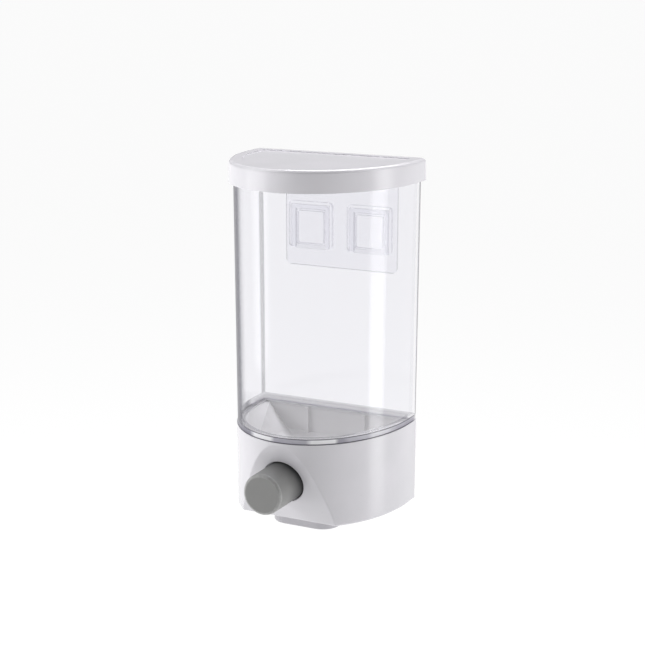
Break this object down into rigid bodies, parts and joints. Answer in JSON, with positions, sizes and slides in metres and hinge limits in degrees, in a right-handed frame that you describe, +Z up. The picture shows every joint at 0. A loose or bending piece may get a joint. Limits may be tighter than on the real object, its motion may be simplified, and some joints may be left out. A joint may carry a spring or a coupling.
{
  "type": "cereal dispenser",
  "caption": "Wall-hung dry-food dispenser: clear D-shaped hopper with a lift-off lid on a white base whose sprung round front button slides a shutter over the outlet below.",
  "frame": {"origin": "centre of the wall sheet's adhesive back, in the plane of the wall", "axes": "+X to the right of a person facing the dispenser, +Y into the wall, +Z up"},
  "size_m": [0.125, 0.115, 0.2424],
  "materials": {
    "clear_plastic": "clear glossy moulded plastic",
    "clear_film": "thin clear sheet with an adhesive back",
    "white_plastic": "satin white moulded plastic",
    "grey_plastic": "satin mid-grey moulded plastic",
    "pale_grey_plastic": "satin pale grey moulded plastic",
    "silicone": "soft milky silicone",
    "steel": "bright drawn steel"
  },
  "bodies": {
    "wall_mount": {"adhesive_sheet": "clear_film", "hook_left": "clear_plastic", "hook_right": "clear_plastic"},
    "dispenser": {"hopper": "clear_plastic", "hopper_gasket": "silicone", "base_housing": "white_plastic", "funnel": "white_plastic", "throat_seal": "silicone", "guide_rail_left": "white_plastic", "guide_rail_right": "white_plastic", "bottom_plate": "white_plastic", "outlet_collar": "pale_grey_plastic", "drop_chute": "white_plastic", "bottom_screws": "steel", "rail_screws": "steel", "button_bushing": "white_plastic", "spring_post": "white_plastic", "return_spring": "steel"},
    "lid": {"lid_cover": "white_plastic", "lid_seal": "silicone"},
    "button": {"button_cap": "grey_plastic", "plunger_yoke": "white_plastic", "shutter_plate": "white_plastic", "yoke_screws": "steel"}
  },
  "joints": [
    {"name": "dispenser_lift", "type": "slide", "parent": "wall_mount", "child": "dispenser", "axis": [0, 0, 1], "range_m": [0, 0.036]},
    {"name": "lid_lift", "type": "slide", "parent": "dispenser", "child": "lid", "axis": [0, 0, 1], "range_m": [0, 0.06]},
    {"name": "button_press", "type": "slide", "parent": "dispenser", "child": "button", "axis": [0, 1, 0], "range_m": [0, 0.02], "stiffness_N_per_m": 250, "springref_m": -0.01, "deforming": ["return_spring"]}
  ]
}
